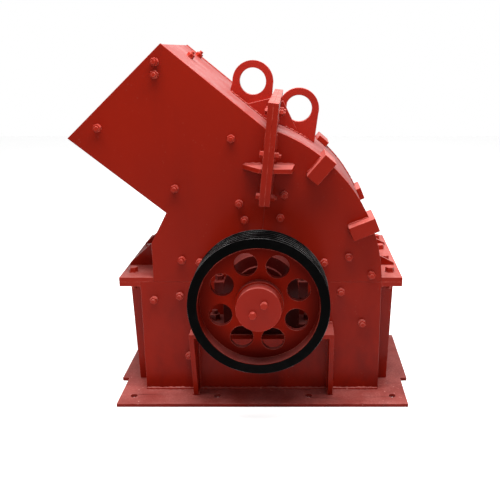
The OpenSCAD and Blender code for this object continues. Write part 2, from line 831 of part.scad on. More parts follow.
module liner_plate(points) {
    difference() {
        from_axis(-inner_w, -liner_w) polygon(points);
        axis_bar(shaft_hole_r, -half_w, half_w);
    }
}
module lower_liners() {
    edge = in + liner_gap;
    low = liner_low - shaft_height;
    color(steel) both_sides() liner_plate([
        [feed_x + edge, low], [cover_x - edge, low],
        [cover_x - edge, -liner_joint], [feed_x + edge, -liner_joint]]);
}
module feed_liners() {
    d = in + liner_gap;
    seam = aside(split_foot, split_top, -liner_joint);
    mouth = aside(lip, chute_head, liner_back);
    under_top = top_line(top_in + liner_gap);
    color(steel) both_sides() liner_plate([
        [wall_line(d)[0].x, 0], cross_of(wall_line(d), slope_line(d)),
        cross_of(slope_line(d), floor_line(d)), cross_of(mouth, floor_line(d)),
        cross_of(mouth, under_top), cross_of(seam, under_top), [seam[0].x, 0]]);
}
module cover_liners() {
    color(steel) both_sides() difference() {
        intersection() {
            cover_disc(crown_inner_r - liner_gap, -inner_w, -liner_w);
            translate([liner_joint, 0, 0]) cover_zone();
        }
        axis_bar(shaft_hole_r, -half_w, half_w);
    }
}
module breaker_liner() {
    color(steel) intersection() {
        difference() {
            cover_disc(crown_inner_r, -liner_w, liner_w);
            cover_disc(crown_inner_r - breaker, -liner_w - 1, liner_w + 1);
        }
        translate([liner_joint, 0, 0]) cover_zone();
        from_axis(-far / 2, far / 2)
            polygon([[cover_cx, 0], arc_at(far, breaker_low), [far, far], [cover_cx, far]]);
    }
}
// Bars lie across the casing between two arcs that stand against the side liners
bar_end_y = liner_w - grate_arc;
module grate() {
    step = (180 - 2 * grate_start) / (grate_bars - 1);
    color(steel) for (i = [0:grate_bars - 1])
        translate([0, 0, shaft_height]) rotate([0, grate_start + i * step, 0])
            translate([grate_r + 1, -bar_end_y, -grate_bar_w / 2])
                cube([grate_bar, 2 * bar_end_y, grate_bar_w]);
}
module grate_arcs() {
    a = grate_start - 2;
    color(steel) both_sides() intersection() {
        difference() {
            axis_bar(grate_r + grate_arc_w, -liner_w, -bar_end_y);
            axis_bar(grate_r, -liner_w - 1, -bar_end_y + 1);
        }
        from_axis(-far / 2, far / 2) polygon([[0, 0], far * [cos(a), -sin(a)],
            far * [1, -2], far * [-1, -2], far * [-cos(a), -sin(a)]]);
    }
}

base_strip_front();
base_strip_back();
base_end_strips();
lower_side_front();
lower_side_back();
lower_wall_feed();
lower_wall_cover();
lower_ribs();
lower_flange_feed();
lower_flange_cover();
feed_side_front();
feed_side_back();
feed_wall();
chute_floor();
chute_top();
upper_flange_feed();
upper_flange_cover();
upper_gussets();
cover_side_front();
cover_side_back();
cover_plate();
split_flange_feed();
split_flange_cover();
split_gussets_feed();
split_gussets_cover();
top_gussets();
lifting_eye_feed();
lifting_eye_cover();
bar_ends_front();
bar_ends_back();
pedestal_front();
pedestal_back();
bearing_front();
bearing_back();
rotor_shaft();
drive_pulley();
pulley_end_disc();
flywheel();
rotor_discs();
rotor_spacers();
hammer_pins();
hammers();
lower_liners();
feed_liners();
cover_liners();
breaker_liner();
grate();
grate_arcs();
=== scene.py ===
import bpy, bmesh, math, random
from mathutils import Vector, Matrix


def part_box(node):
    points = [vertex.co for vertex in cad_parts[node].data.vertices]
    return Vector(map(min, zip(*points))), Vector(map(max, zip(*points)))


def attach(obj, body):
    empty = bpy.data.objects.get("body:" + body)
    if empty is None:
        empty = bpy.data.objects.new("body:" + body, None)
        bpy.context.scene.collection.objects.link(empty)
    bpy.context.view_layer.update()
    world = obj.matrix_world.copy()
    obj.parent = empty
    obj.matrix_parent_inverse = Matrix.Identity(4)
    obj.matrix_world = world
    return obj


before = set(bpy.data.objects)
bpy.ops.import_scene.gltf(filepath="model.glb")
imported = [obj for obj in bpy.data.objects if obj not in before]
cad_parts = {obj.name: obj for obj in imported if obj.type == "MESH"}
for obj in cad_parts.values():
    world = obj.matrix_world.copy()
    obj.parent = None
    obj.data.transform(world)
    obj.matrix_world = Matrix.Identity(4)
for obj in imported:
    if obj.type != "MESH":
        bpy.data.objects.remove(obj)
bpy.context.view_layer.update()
print("stage: frame loaded,", len(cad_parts), "nodes")

# lines and planes of the casing, read from the frame
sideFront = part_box("feed_side_front")
outerY = -sideFront[0][1]                       # outer face of the side plates
innerY = -sideFront[1][1]
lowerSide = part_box("lower_side_front")
axisZ = lowerSide[1][2]                         # level of the shaft
feedX, coverX = lowerSide[0][0], lowerSide[1][0]
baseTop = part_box("base_strip_front")[1][2]
wallFeed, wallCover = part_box("lower_wall_feed"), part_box("lower_wall_cover")
pi = math.pi

# directions
front, back = Vector((0, -1, 0)), Vector((0, 1, 0))
up, down = Vector((0, 0, 1)), Vector((0, 0, -1))

view = {
    "lens": 50.4, "sensor": 36.0, "pitch": 15.945, "distance": 2.137,
    "right": 0.105, "height": 1.0946, "shiftX": -0.09, "shiftY": 0.0}


def makeCamera():
    camData = bpy.data.cameras.new("photoCamera")
    camData.lens = view["lens"]
    camData.sensor_width = view["sensor"]
    camData.shift_x = view["shiftX"]
    camData.shift_y = view["shiftY"]
    cam = bpy.data.objects.new("photoCamera", camData)
    bpy.context.scene.collection.objects.link(cam)
    cam.location = (view["right"], -outerY - view["distance"], view["height"] + baseTop)
    cam.rotation_euler = (math.radians(90 - view["pitch"]), 0, 0)
    bpy.context.scene.camera = cam


makeCamera()
bpy.context.scene.view_settings.view_transform = "Standard"


# node helpers

def fillInputs(tree, node, values):
    # a socket is linked, anything else is set
    for key, value in values.items():
        if isinstance(value, bpy.types.NodeSocket):
            tree.links.new(value, node.inputs[key])
        else:
            node.inputs[key].default_value = value
    return node


def putNode(tree, kind, values=None, **settings):
    node = tree.nodes.new(kind)
    for name, value in settings.items():
        setattr(node, name, value)
    return fillInputs(tree, node, values or {})


def calc(tree, operation, *terms):
    return putNode(tree, "ShaderNodeMath", dict(enumerate(terms)), operation=operation).outputs[0]


def mixColor(tree, factor, first, second):
    return putNode(tree, "ShaderNodeMix", {0: factor, 6: first, 7: second},
                   data_type="RGBA", blend_type="MIX").outputs[2]


def between(tree, value, low, high):
    # 0 at low, 1 at high, eased
    return putNode(tree, "ShaderNodeMapRange", {
        "Value": value, "From Min": low, "From Max": high},
        interpolation_type="SMOOTHSTEP").outputs[0]


def noiseAt(tree, coords, scale, detail, rough):
    return putNode(tree, "ShaderNodeTexNoise", {
        "Vector": coords, "Scale": scale, "Detail": detail, "Roughness": rough}).outputs["Fac"]


def stretchedNoise(tree, coords, size, detail, rough):
    stretched = putNode(tree, "ShaderNodeMapping", {"Vector": coords, "Scale": size}).outputs[0]
    return noiseAt(tree, stretched, 1.0, detail, rough)


def ownCoords(tree):
    return tree.nodes.new("ShaderNodeTexCoord").outputs["Object"]


def upPart(tree, vector):
    return putNode(tree, "ShaderNodeSeparateXYZ", {0: vector}).outputs["Z"]


def startGroup(name, inputs, outputs):
    tree = bpy.data.node_groups.new(name, "ShaderNodeTree")
    kinds = {"c": "NodeSocketColor", "f": "NodeSocketFloat"}
    for socketName, kind, value in inputs:
        socket = tree.interface.new_socket(
            name=socketName, in_out="INPUT", socket_type=kinds[kind])
        socket.default_value = value
    for socketName, kind in outputs:
        tree.interface.new_socket(name=socketName, in_out="OUTPUT", socket_type=kinds[kind])
    return tree, tree.nodes.new("NodeGroupInput").outputs, tree.nodes.new("NodeGroupOutput")


# node groups that several finishes share, each with its pattern's values

edgePattern = {"samples": 4, "corner": (0.995, 0.86), "gaps": (0.62, 0.36)}


def makeEdgeGroup():
    # mask of outer edges, broken up by noise
    tree, given, result = startGroup("edgeWear", [
        ("Radius", "f", 0.003), ("Amount", "f", 0.5), ("Scale", "f", 40.0)], [("Mask", "f")])
    soft = putNode(tree, "ShaderNodeBevel", {"Radius": given["Radius"]},
                   samples=edgePattern["samples"])
    plain = tree.nodes.new("ShaderNodeNewGeometry")
    same = putNode(tree, "ShaderNodeVectorMath", {
        0: soft.outputs[0], 1: plain.outputs["Normal"]}, operation="DOT_PRODUCT")
    edge = between(tree, same.outputs["Value"], *edgePattern["corner"])
    patchy = noiseAt(tree, ownCoords(tree), given["Scale"], 4.0, 0.65)
    mask = calc(tree, "MULTIPLY", edge, between(tree, patchy, *edgePattern["gaps"]))
    fillInputs(tree, result, {"Mask": calc(tree, "MULTIPLY", mask, given["Amount"])})
    return tree


dustSheenPattern = {"tilt": (0.3, 0.88), "drift": (0.3, 0.7), "driftPart": 0.6,
               "grain": 160.0, "grainEdge": (0.35, 0.75), "grainPart": 0.4}


def makeDustSheenGroup():
    # dust that lies on faces that look up, thicker in drifts; the same pale mask also paints the
    # sheen of the top light on those faces
    tree, given, result = startGroup("dustAndTopSheen", [
        ("Amount", "f", 0.5), ("Scale", "f", 9.0)], [("Mask", "f")])
    spot = ownCoords(tree)
    look = dustSheenPattern
    facing = upPart(tree, tree.nodes.new("ShaderNodeNewGeometry").outputs["Normal"])
    level = between(tree, facing, *look["tilt"])
    drift = between(tree, noiseAt(tree, spot, given["Scale"], 5.0, 0.6), *look["drift"])
    grain = between(tree, noiseAt(tree, spot, look["grain"], 2.0, 0.7), *look["grainEdge"])
    drifted = calc(tree, "MULTIPLY_ADD", drift, look["driftPart"], 1 - look["driftPart"])
    grained = calc(tree, "MULTIPLY_ADD", grain, look["grainPart"], 1 - look["grainPart"])
    lying = calc(tree, "MULTIPLY", calc(tree, "MULTIPLY", level, drifted), grained)
    fillInputs(tree, result, {"Mask": calc(tree, "MULTIPLY", lying, given["Amount"])})
    return tree


paintPattern = {
    "cloud": 2.6, "cloudEdge": (0.3, 0.72), "runs": (16, 16, 1.6), "runsEdge": (0.48, 0.75),
    "runsPart": 0.5, "lowBlotch": (7, 7, 4), "lowBlotchEdge": (0.35, 0.7), "most": 0.95,
    "peel": 240.0, "peelPart": 0.3, "drag": (60, 60, 9), "dragPart": 0.55, "wave": 7.0,
    "wavePart": 2.4, "shine": 11.0, "shineSpread": 0.26}


def makePaintGroup():
    # brushed enamel: tone drift, runs, darker blotches towards the floor, and its own small
    # relief
    tree, given, result = startGroup("brushedPaint", [
        ("Paint", "c", (1, 0, 0, 1)), ("Deep", "c", (0.2, 0, 0, 1)), ("Drift", "f", 0.4),
        ("Low Darkening", "f", 0.5), ("Low Darkening Top", "f", 0.45), ("Relief", "f", 1.0)],
        [("Color", "c"), ("Shine", "f"), ("Height", "f")])
    spot = ownCoords(tree)
    look = paintPattern
    cloud = between(tree, noiseAt(tree, spot, look["cloud"], 4.0, 0.55), *look["cloudEdge"])
    runs = between(tree, stretchedNoise(tree, spot, look["runs"], 4.0, 0.6), *look["runsEdge"])
    streaky = calc(tree, "MULTIPLY_ADD", runs, look["runsPart"], cloud)
    deepening = calc(tree, "MULTIPLY", streaky, given["Drift"])
    # darker towards the floor, in stretched blotches
    low = between(tree, upPart(tree, spot), given["Low Darkening Top"], 0.0)
    lowBlotch = between(tree, stretchedNoise(tree, spot, look["lowBlotch"], 5.0, 0.65), *look["lowBlotchEdge"])
    darkenedLow = calc(tree, "MULTIPLY", calc(tree, "MULTIPLY", low, lowBlotch), given["Low Darkening"])
    worn = calc(tree, "MINIMUM", calc(tree, "ADD", deepening, darkenedLow), look["most"])
    # relief: orange peel, brush drag and a slow wave of the plate
    peel = noiseAt(tree, spot, look["peel"], 2.0, 0.5)
    drag = stretchedNoise(tree, spot, look["drag"], 3.0, 0.5)
    wave = noiseAt(tree, spot, look["wave"], 2.0, 0.4)
    relief = calc(tree, "MULTIPLY_ADD", drag, look["dragPart"],
                  calc(tree, "MULTIPLY", peel, look["peelPart"]))
    relief = calc(tree, "MULTIPLY_ADD", wave, look["wavePart"], relief)
    spread = look["shineSpread"]
    fillInputs(tree, result, {
        "Color": mixColor(tree, worn, given["Paint"], given["Deep"]),
        "Height": calc(tree, "MULTIPLY", relief, given["Relief"]),
        "Shine": calc(tree, "MULTIPLY_ADD", noiseAt(tree, spot, look["shine"], 4.0, 0.6),
                      spread, -spread / 2)})
    return tree


speckPattern = {"dot": (0.2, 0.08), "field": 13.0, "fieldEdge": (0.5, 0.66)}


def makeSpeckGroup():
    # small chips and splashes, a few millimetres across
    tree, given, result = startGroup("paintSpecks", [
        ("Scale", "f", 60.0), ("Amount", "f", 0.3)], [("Mask", "f")])
    spot = ownCoords(tree)
    cell = putNode(tree, "ShaderNodeTexVoronoi", {"Vector": spot, "Scale": given["Scale"]})
    dot = between(tree, cell.outputs["Distance"], *speckPattern["dot"])
    field = between(tree, noiseAt(tree, spot, speckPattern["field"], 3.0, 0.6),
                    *speckPattern["fieldEdge"])
    mask = calc(tree, "MULTIPLY", calc(tree, "MULTIPLY", dot, field), given["Amount"])
    fillInputs(tree, result, {"Mask": mask})
    return tree


turnedPattern = {"wobbleScale": 30.0, "wobble": 0.001}


def makeTurnedGroup():
    # distance from the shaft axis, and fine tool rings about it
    tree, given, result = startGroup("turnedRings", [("Pitch", "f", 0.0016)],
                                     [("Radius", "f"), ("Rings", "f")])
    spot = ownCoords(tree)
    place = putNode(tree, "ShaderNodeMapping", {
        "Vector": spot, "Location": (0, 0, -axisZ), "Scale": (1, 0, 1)}).outputs[0]
    radius = putNode(tree, "ShaderNodeVectorMath", {0: place}, operation="LENGTH")
    radius = radius.outputs["Value"]
    uneven = noiseAt(tree, spot, turnedPattern["wobbleScale"], 2.0, 0.5)
    wobble = calc(tree, "MULTIPLY_ADD", uneven, turnedPattern["wobble"], radius)
    phase = calc(tree, "DIVIDE", calc(tree, "MULTIPLY", wobble, 2 * pi), given["Pitch"])
    fillInputs(tree, result, {"Radius": radius, "Rings": calc(tree, "SINE", phase)})
    return tree


rustPattern = {"patch": 14.0, "fine": 120.0, "finePart": 0.35, "edge": (0.6, 0.78),
               "patchRelief": 1.6}


def makeRustGroup():
    # scale and rust on bare steel and castings
    tree, given, result = startGroup("millScale", [
        ("Metal", "c", (0.2, 0.2, 0.2, 1)), ("Rust", "c", (0.16, 0.06, 0.025, 1)),
        ("Amount", "f", 0.4)], [("Color", "c"), ("Mask", "f"), ("Height", "f")])
    spot = ownCoords(tree)
    patch = noiseAt(tree, spot, rustPattern["patch"], 6.0, 0.65)
    fine = noiseAt(tree, spot, rustPattern["fine"], 4.0, 0.6)
    spread = calc(tree, "MULTIPLY_ADD", fine, rustPattern["finePart"], patch)
    mask = calc(tree, "MULTIPLY", between(tree, spread, *rustPattern["edge"]), given["Amount"])
    fillInputs(tree, result, {
        "Mask": mask, "Color": mixColor(tree, mask, given["Metal"], given["Rust"]),
        "Height": calc(tree, "MULTIPLY_ADD", patch, rustPattern["patchRelief"], fine)})
    return tree


groups = {
    "edge": makeEdgeGroup(), "dustSheen": makeDustSheenGroup(), "paint": makePaintGroup(),
    "speck": makeSpeckGroup(), "turned": makeTurnedGroup(), "rust": makeRustGroup()}
print("stage: node groups ready")


def useGroup(tree, name, values):
    node = tree.nodes.new("ShaderNodeGroup")
    node.node_tree = groups[name]
    return fillInputs(tree, node, values).outputs


def startMaterial(name):
    mat = bpy.data.materials.new(name)
    mat.use_nodes = True
    return mat, mat.node_tree, mat.node_tree.nodes["Principled BSDF"]


def addBump(tree, shader, height, distance):
    bump = putNode(tree, "ShaderNodeBump", {
        "Height": height, "Distance": distance, "Strength": 1.0})
    tree.links.new(bump.outputs[0], shader.inputs["Normal"])


# enamels: one dictionary each, and one function that mixes the finish from it
casingEnamel = {
    "paint": (0.27, 0.009, 0.0015, 1), "deep": (0.11, 0.005, 0.003, 1), "drift": 0.17,
    "lowDarkening": 0.62, "lowDarkeningTop": 0.55, "dustSheenTone": (0.66, 0.27, 0.24, 1), "dustSheen": 0.35,
    "wear": 0.45, "wearTone": (0.5, 0.07, 0.045, 1), "specks": 0.12,
    "speckTone": (0.4, 0.12, 0.1, 1), "roughness": 0.4, "dustRoughness": 0.3,
    "specular": 0.08, "coat": 0.03, "coatRoughness": 0.16, "relief": 0.0003}
fittingEnamel = dict(
    casingEnamel, paint=(0.3, 0.011, 0.003, 1), drift=0.22, lowDarkening=0.35, dustSheen=0.6, wear=1.0,
    wearTone=(0.62, 0.1, 0.07, 1), roughness=0.36, coat=0.05)
# a lighter copy of the fitting enamel for the lifting eyes and top gussets: painted top light,
# with pale painted edge highlights and dust
eyeLitEnamel = dict(
    fittingEnamel, paint=(0.38, 0.018, 0.009, 1), dustSheen=0.8, wearTone=(0.75, 0.24, 0.2, 1))
# chute top and cover strip: full pale tone on their tilted faces, dust and painted sheen of the
# top light
shellEnamel = dict(
    casingEnamel, dustSheen=1.0, dustSheenTone=(0.36, 0.175, 0.17, 1), drift=0.25, roughness=0.42)
baseEnamel = dict(
    casingEnamel, paint=(0.24, 0.009, 0.003, 1), deep=(0.09, 0.005, 0.003, 1), drift=0.6,
    lowDarkening=0.2, dustSheen=0.75, dustSheenTone=(0.55, 0.17, 0.15, 1), wear=0.9,
    wearTone=(0.6, 0.16, 0.13, 1), specks=0.9, speckTone=(0.7, 0.36, 0.32, 1),
    roughness=0.42, coat=0.04, relief=0.0005)
# near-black paint for the bearing housings between the wheels and the casing: painted shade, and
# grease
castShadeEnamel = dict(
    casingEnamel, paint=(0.09, 0.003, 0.0015, 1), deep=(0.02, 0.0015, 0.001, 1), drift=0.6,
    lowDarkening=0.8, dustSheen=0.15, wear=0.5, roughness=0.46, relief=0.0007)
# a lighter copy of the casing paint with pale edges: painted highlights on the bolts
boltLitEnamel = dict(
    casingEnamel, paint=(0.37, 0.019, 0.008, 1), drift=0.2, lowDarkening=0.2, dustSheen=0.4, wear=0.7,
    wearTone=(0.66, 0.16, 0.12, 1), roughness=0.34, coat=0.04, relief=0.0001)
weldEnamel = dict(
    casingEnamel, paint=(0.32, 0.018, 0.008, 1), drift=0.45, lowDarkening=0.2, dustSheen=0.5, wear=0.5,
    specks=0.5, speckTone=(0.7, 0.35, 0.3, 1), roughness=0.38, coat=0.08)


def makeEnamel(name, look):
    mat, tree, shader = startMaterial(name)
    coatOf = useGroup(tree, "paint", {
        "Paint": look["paint"], "Deep": look["deep"], "Drift": look["drift"],
        "Low Darkening": look["lowDarkening"], "Low Darkening Top": look["lowDarkeningTop"]})
    speck = useGroup(tree, "speck", {"Amount": look["specks"]})["Mask"]
    edge = useGroup(tree, "edge", {"Amount": look["wear"]})["Mask"]
    dustSheen = useGroup(tree, "dustSheen", {"Amount": look["dustSheen"]})["Mask"]
    color = mixColor(tree, speck, coatOf["Color"], look["speckTone"])
    color = mixColor(tree, edge, color, look["wearTone"])
    # faces looking up go paler: dust, and painted sheen of the top light
    color = mixColor(tree, dustSheen, color, look["dustSheenTone"])
    rough = calc(tree, "ADD", coatOf["Shine"], look["roughness"])
    fillInputs(tree, shader, {
        "Base Color": color, "Specular IOR Level": look["specular"],
        "Roughness": calc(tree, "MULTIPLY_ADD", dustSheen, look["dustRoughness"], rough),
        "Coat Weight": look["coat"], "Coat Roughness": look["coatRoughness"]})
    addBump(tree, shader, coatOf["Height"], look["relief"])
    return mat


wheelLook = {
    "rimTone": (0.0008, 0.0007, 0.0007, 1), "grooveTone": (0.005, 0.005, 0.005, 1),
    "ridgeWearHighlightTone": (0.3, 0.3, 0.3, 1), "edgeWearHighlightTone": (0.62, 0.16, 0.12, 1),
    "rimShadeGreaseTone": (0.05, 0.003, 0.002, 1), "bandDustSheenTone": (0.3, 0.1, 0.09, 1),
    "rimDepth": 0.0285, "border": (0.0008, 0.0022), "ragged": 0.003, "raggedScale": 55.0,
    "hubOuter": 0.085, "drift": 0.35, "lowDarkening": 0.55, "lowDarkeningTop": 0.42, "rimShadeGrease": 0.7,
    "dustSheen": 0.6, "smear": 0.5, "smearScale": 18.0, "smearEdge": (0.45, 0.75), "wear": 0.9, "wearRadius": 0.002, "wearScale": 9.0, "roughness": 0.34,
    "smearRoughness": 0.12, "specular": 0.015, "pitch": 0.0021, "rings": 0.12,
    "relief": 0.00016}


def makeWheelFinish(name, wheelNode):
    # red web and hub, black oiled rim; the border lies on the rim's inner corner
    look = wheelLook
    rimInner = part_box(wheelNode)[1][0] - look["rimDepth"]
    mat, tree, shader = startMaterial(name)
    spot = ownCoords(tree)
    turned = useGroup(tree, "turned", {"Pitch": look["pitch"]})
    coatOf = useGroup(tree, "paint", {
        "Paint": fittingEnamel["paint"], "Deep": casingEnamel["deep"], "Drift": look["drift"],
        "Low Darkening": look["lowDarkening"], "Low Darkening Top": look["lowDarkeningTop"]})
    edge = useGroup(tree, "edge", {
        "Amount": 1.0, "Radius": look["wearRadius"], "Scale": look["wearScale"]})["Mask"]
    worn = calc(tree, "MULTIPLY", edge, look["wear"])
    ragged = calc(tree, "MULTIPLY_ADD", noiseAt(tree, spot, look["raggedScale"], 3.0, 0.6),
                  look["ragged"], turned["Radius"])
    rim = between(tree, ragged, rimInner + look["border"][0], rimInner + look["border"][1])
    smear = between(tree, noiseAt(tree, spot, look["smearScale"], 5.0, 0.65),
                    *look["smearEdge"])
    black = mixColor(tree, calc(tree, "MULTIPLY", smear, look["smear"]), look["rimTone"],
                     look["grooveTone"])
    # pale lines on the rim's ridges: wear, and painted highlight of the top light
    black = mixColor(tree, worn, black, look["ridgeWearHighlightTone"])
    # web darker from the hub out to the rim: painted shade of the recess inside the rim, and
    # grease
    outward = between(tree, turned["Radius"], look["hubOuter"], rimInner)
    painted = mixColor(tree, calc(tree, "MULTIPLY", outward, look["rimShadeGrease"]), coatOf["Color"],
                       look["rimShadeGreaseTone"])
    # paler edges on web and hub, round the holes too: wear, and painted highlight
    painted = mixColor(tree, worn, painted, look["edgeWearHighlightTone"])
    # faces looking up, such as the rim's inner bottom and the hub's top, go paler: dust, and
    # painted sheen of the top light
    upDustSheen = useGroup(tree, "dustSheen", {"Amount": look["dustSheen"]})["Mask"]
    painted = mixColor(tree, upDustSheen, painted, look["bandDustSheenTone"])
    fillInputs(tree, shader, {
        "Base Color": mixColor(tree, rim, painted, black),
        "Roughness": calc(tree, "MULTIPLY_ADD", smear, look["smearRoughness"],
                          look["roughness"]),
        "Specular IOR Level": look["specular"]})
    rings = calc(tree, "MULTIPLY", turned["Rings"], rim)
    addBump(tree, shader, calc(tree, "MULTIPLY_ADD", rings, look["rings"], coatOf["Height"]),
            look["relief"])
    return mat


steelLook = {
    "machined": {"metal": (0.42, 0.41, 0.39, 1), "rust": 0.25, "metallic": 0.95,
                 "roughness": 0.34, "relief": 0.00005, "pitch": 0.0016},
    "rotor": {"metal": (0.2, 0.195, 0.19, 1), "rust": 0.55, "metallic": 0.8,
              "roughness": 0.5, "relief": 0.0003, "pitch": 0.004},
    "wear": {"metal": (0.13, 0.125, 0.12, 1), "rust": 0.7, "metallic": 0.6,
             "roughness": 0.6, "relief": 0.0009, "pitch": 0.004}}
bareEdge = {"tone": (0.5, 0.49, 0.47, 1), "amount": 0.5}
rustDulls = {"metallic": 0.85, "roughness": 0.4, "rings": 0.15}


def makeSteel(name, look):
    mat, tree, shader = startMaterial(name)
    crust = useGroup(tree, "rust", {"Metal": look["metal"], "Amount": look["rust"]})
    turned = useGroup(tree, "turned", {"Pitch": look["pitch"]})
    edge = useGroup(tree, "edge", {"Amount": bareEdge["amount"]})["Mask"]
    lost = calc(tree, "MULTIPLY", crust["Mask"], rustDulls["metallic"])
    fillInputs(tree, shader, {
        "Base Color": mixColor(tree, edge, crust["Color"], bareEdge["tone"]),
        "Metallic": calc(tree, "SUBTRACT", look["metallic"], lost),
        "Roughness": calc(tree, "MULTIPLY_ADD", crust["Mask"], rustDulls["roughness"],
                          look["roughness"])})
    addBump(tree, shader, calc(tree, "MULTIPLY_ADD", turned["Rings"], rustDulls["rings"],
                               crust["Height"]), look["relief"])
    return mat


finishes = {
    "casing": makeEnamel("casingEnamel", casingEnamel),
    "fitting": makeEnamel("fittingEnamel", fittingEnamel),
    "eye": makeEnamel("eyeLitEnamel", eyeLitEnamel),
    "shell": makeEnamel("shellEnamel", shellEnamel),
    "base": makeEnamel("baseEnamel", baseEnamel),
    "cast": makeEnamel("castShadeEnamel", castShadeEnamel),
    "bolt": makeEnamel("boltLitEnamel", boltLitEnamel),
    "weld": makeEnamel("weldEnamel", weldEnamel),
    "pulley": makeWheelFinish("pulleyFinish", "drive_pulley"),
    "flywheel": makeWheelFinish("flywheelFinish", "flywheel"),
    "machined": makeSteel("machinedSteel", steelLook["machined"]),
    "rotor": makeSteel("rotorSteel", steelLook["rotor"]),
    "wear": makeSteel("wearCasting", steelLook["wear"])}
print("stage: finishes ready")

# which finish each node gets, by the start of its name
finishOf = {
    "base": "base", "lower_side": "casing", "feed_side": "casing", "cover_side": "casing",
    "lower_wall": "casing", "feed_wall": "casing", "chute": "shell", "cover_plate": "shell",
    "lower_ribs": "fitting", "lower_flange": "fitting", "upper": "fitting", "split": "fitting",
    "top_gussets": "eye", "lifting": "eye", "bar": "fitting", "pedestal": "casing",
    "bearing": "cast", "drive_pulley": "pulley", "pulley_end": "fitting",
    "flywheel": "flywheel", "rotor_shaft": "machined", "rotor": "rotor", "hammer_pins": "rotor",
    "hammers": "wear", "lower_liners": "wear", "feed_liners": "wear", "cover_liners": "wear",
    "breaker": "wear", "grate": "wear"}
softEdge = {"width": 0.0014, "angle": 32, "mend": 0.00002}
# hidden pieces and the grooved wheels keep their plain edges
sharpNodes = ("rotor", "hammer", "grate", "breaker", "lower_liners", "feed_liners",
              "cover_liners", "drive_pulley", "flywheel")


def dressNode(nodeName, obj):
    start = max((key for key in finishOf if nodeName.startswith(key)), key=len)
    mat = finishes[finishOf[start]]
    if obj.material_slots:
        for slot in obj.material_slots:
            slot.material = mat
    else:
        obj.data.materials.append(mat)
    if not nodeName.startswith(sharpNodes):
        weld = obj.modifiers.new("joinCorners", "WELD")
        weld.merge_threshold = softEdge["mend"]
        edge = obj.modifiers.new("softEdge", "BEVEL")
        edge.width = softEdge["width"]
        edge.segments = 2
        edge.limit_method = "ANGLE"
        edge.angle_limit = math.radians(softEdge["angle"])
        edge.use_clamp_overlap = True


for nodeName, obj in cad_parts.items():
    dressNode(nodeName, obj)
print("stage: nodes dressed")


# fasteners: two templates, across flats 1, standing on the surface at z 0

def addCylinder(bm, radius, low, high, segments):
    made = bmesh.ops.create_cone(
        bm, cap_ends=True, segments=segments, radius1=radius, radius2=radius, depth=high - low,
        matrix=Matrix.Translation((0, 0, (low + high) / 2)))
    return made["verts"]


def edgesOf(verts):
    # each edge once, in the same order every run
    return list(dict.fromkeys(e for v in verts for e in v.link_edges))


def chamferTop(bm, verts, offset):
    top = max(v.co.z for v in verts)
    rim = [e for e in edgesOf(verts) if all(abs(w.co.z - top) < 1e-6 for w in e.verts)]
    bmesh.ops.bevel(bm, geom=rim, offset=offset, segments=2, profile=0.5, affect="EDGES",
                    material=-1)


boltShape = {
    "washerRadius": 0.56, "washer": 0.07, "washerSides": 24, "washerEdge": 0.03,
    "head": 0.6, "headEdge": 0.07, "stud": 0.3, "studOver": 0.4, "studSides": 14,
    "threads": 5, "threadFill": 0.8, "threadEdge": 0.03, "sunk": 0.01}


def makeFastener(name, withStud):
    bm = bmesh.new()
    shape = boltShape
    washer = addCylinder(bm, shape["washerRadius"], 0, shape["washer"], shape["washerSides"])
    chamferTop(bm, washer, shape["washerEdge"])
    top = shape["washer"] + shape["head"]
    head = addCylinder(bm, 0.5 / math.cos(pi / 6), shape["washer"] - shape["sunk"], top, 6)
    chamferTop(bm, head, shape["headEdge"])
    if withStud:
        pitch = shape["studOver"] / shape["threads"]
        for i in range(shape["threads"]):
            thread = addCylinder(bm, shape["stud"], top - shape["sunk"] + i * pitch,
                                 top + (i + shape["threadFill"]) * pitch, shape["studSides"])
            chamferTop(bm, thread, shape["threadEdge"])
    mesh = bpy.data.meshes.new(name)
    bm.to_mesh(mesh)
    bm.free()
    return mesh


headTemplate = makeFastener("headTemplate", False)
nutTemplate = makeFastener("nutTemplate", True)


def turnTo(direction):
    return direction.to_track_quat("Z", "Y").to_matrix().to_4x4()


def finishPiece(name, bm, material, body, smooth=False):
    bmesh.ops.remove_doubles(bm, verts=bm.verts, dist=0.000005)
    bmesh.ops.recalc_face_normals(bm, faces=bm.faces)
    for face in bm.faces:
        face.smooth = smooth
    mesh = bpy.data.meshes.new(name)
    bm.to_mesh(mesh)
    bm.free()
    piece = bpy.data.objects.new(name, mesh)
    bpy.context.scene.collection.objects.link(piece)
    mesh.materials.append(finishes[material])
    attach(piece, body)


def boltRow(name, spots, material="bolt", body="housing"):
    # each spot: template, place on the surface, direction, across flats, turn in degrees
    bm = bmesh.new()
    for template, place, direction, across, turn in spots:
        first = len(bm.verts)
        bm.from_mesh(template)
        bm.verts.ensure_lookup_table()
        where = (Matrix.Translation(place) @ turnTo(direction)
                 @ Matrix.Rotation(math.radians(turn), 4, "Z") @ Matrix.Scale(across, 4))
        bmesh.ops.transform(bm, matrix=where, verts=bm.verts[first:])
    finishPiece(name, bm, material, body)


def anyTurn(rng):
    # a hexagon looks the same again after 60 degrees
    return rng.uniform(0, 60)


# liner bolts through the side plates: x from the shaft, height over the floor
linerBolts = {
    "across": 0.022,
    "spots": ((-0.309, 1.073), (-0.311, 1.037), (-0.492, 0.880), (-0.089, 0.848),
              (-0.267, 0.694), (-0.069, 0.647), (-0.053, 0.595), (0.059, 0.602),
              (0.072, 0.675), (-0.255, 0.463), (-0.267, 0.343), (-0.351, 0.329),
              (-0.198, 0.456), (0.198, 0.456), (0.276, 0.473), (0.350, 0.414),
              (0.253, 0.357), (0.324, 0.249), (-0.245, 0.134))}


